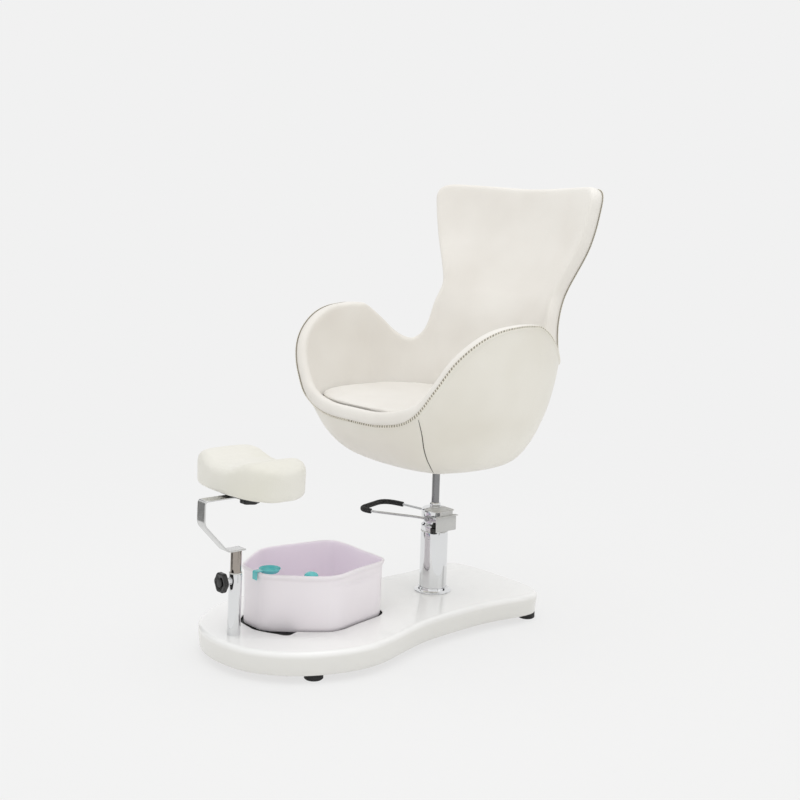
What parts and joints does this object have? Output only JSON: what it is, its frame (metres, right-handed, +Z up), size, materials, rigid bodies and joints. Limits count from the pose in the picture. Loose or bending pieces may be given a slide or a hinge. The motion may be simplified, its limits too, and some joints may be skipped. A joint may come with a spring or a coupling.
{
  "type": "pedicure chair",
  "caption": "Egg-shaped swivel salon chair on a pedal pump, with a pear-shaped deck, a lift-out foot tub and a height-adjustable footrest pad.",
  "frame": {"origin": "on the floor, in the plane of the rubber feet, under the middle of the whole chair's bounding box; the pump's axis stands 230.5 mm behind it", "axes": "+Z up, the chair faces -Y, +X to the sitter's left; X = 0 is the middle plane of the chair"},
  "size_m": [0.8856, 1.3225, 1.4147],
  "materials": {
    "deck_plastic": "satin moulded glass fibre",
    "plywood": "raw plywood",
    "foot_rubber": "matt",
    "zinc_steel": "zinc plated",
    "plate_steel": "black powder coat",
    "chrome_plate": "polished",
    "bush_plastic": "natural",
    "guard_paint": "satin",
    "knob_plastic": "moulded black",
    "grip_foam": "foam",
    "core_plastic": "raw glass fibre",
    "shell_leather": "soft grain, cream",
    "seat_leather": "soft grain, cream white",
    "tub_plastic": "pale lilac",
    "teal_plastic": "teal",
    "strap_steel": "nickel plated flat bar",
    "board_plastic": "black"
  },
  "bodies": {
    "base": {"platform_shell": "deck_plastic", "base_board": "plywood", "rubber_feet": "foot_rubber", "foot_screws": "zinc_steel", "pump_plate": "plate_steel", "pump_bolts": "zinc_steel", "pump_flange": "chrome_plate", "pump_sleeve": "chrome_plate", "swivel_bush": "bush_plastic", "post_socket": "plate_steel", "post_screws": "zinc_steel", "post_tube": "chrome_plate", "post_boss": "chrome_plate", "post_bush": "bush_plastic"},
    "pump_head": {"head_casting": "chrome_plate", "pump_cylinder": "plate_steel", "rod_collar": "chrome_plate", "linkage_cover": "guard_paint", "pivot_pins": "zinc_steel"},
    "pedal": {"lever_loop": "chrome_plate", "foam_grip": "grip_foam"},
    "valve": {"plunger": "knob_plastic"},
    "seat": {"piston_rod": "chrome_plate", "seat_plate": "plate_steel", "seat_bolts": "zinc_steel", "shell_core": "core_plastic", "outer_cover": "shell_leather", "inner_padding": "seat_leather", "seat_cushion": "seat_leather"},
    "tub": {"tub_basin": "tub_plastic"},
    "dish": {"soap_dish": "teal_plastic"},
    "dome": {"rim_dome": "teal_plastic"},
    "footrest": {"inner_tube": "chrome_plate", "strap_bar": "strap_steel"},
    "foot_pad": {"pad_cushion": "seat_leather", "pad_board": "board_plastic", "pad_stud": "zinc_steel"},
    "post_clamp": {"post_knob": "knob_plastic"},
    "pad_clamp": {"pad_knob": "knob_plastic"}
  },
  "joints": [
    {"name": "head_swivel", "type": "hinge", "parent": "base", "child": "pump_head", "pos_m": [0, 0.23051, 0.2], "axis": [0, 0, 1], "continuous": true},
    {"name": "seat_lift", "type": "slide", "parent": "pump_head", "child": "seat", "axis": [0, 0, 1], "range_m": [-0.07, 0.08]},
    {"name": "pedal_hinge", "type": "hinge", "parent": "pump_head", "child": "pedal", "pos_m": [0, 0.23051, 0.32785], "axis": [0.309, -0.9511, 0], "range_deg": [-8, 22], "stiffness_Nm_per_rad": 3, "springref_deg": -4.64},
    {"name": "valve_slide", "type": "slide", "parent": "pump_head", "child": "valve", "axis": [0, 0, 1], "range_m": [-0.0036, 0.0096]},
    {"name": "tub_lift", "type": "slide", "parent": "base", "child": "tub", "axis": [0, 0, 1], "range_m": [0, 0.12]},
    {"name": "dish_lift", "type": "slide", "parent": "tub", "child": "dish", "axis": [0, 0, 1], "range_m": [0, 0.04]},
    {"name": "dome_lift", "type": "slide", "parent": "tub", "child": "dome", "axis": [0, 0, 1], "range_m": [0, 0.04]},
    {"name": "footrest_height", "type": "slide", "parent": "base", "child": "footrest", "axis": [0, 0, 1], "range_m": [-0.04, 0.08]},
    {"name": "pad_turn", "type": "hinge", "parent": "footrest", "child": "foot_pad", "pos_m": [0, -0.49549, 0.497], "axis": [0, 0, 1], "continuous": true},
    {"name": "post_knob_turn", "type": "hinge", "parent": "base", "child": "post_clamp", "pos_m": [0, -0.58949, 0.244], "axis": [0, -1, 0], "continuous": true},
    {"name": "pad_knob_turn", "type": "hinge", "parent": "foot_pad", "child": "pad_clamp", "pos_m": [0, -0.49549, 0.477], "axis": [0, 0, 1], "continuous": true}
  ],
  "couplings": [
    {"joint": "valve_slide", "follows": "pedal_hinge", "m_per_rad": 0.024}
  ]
}
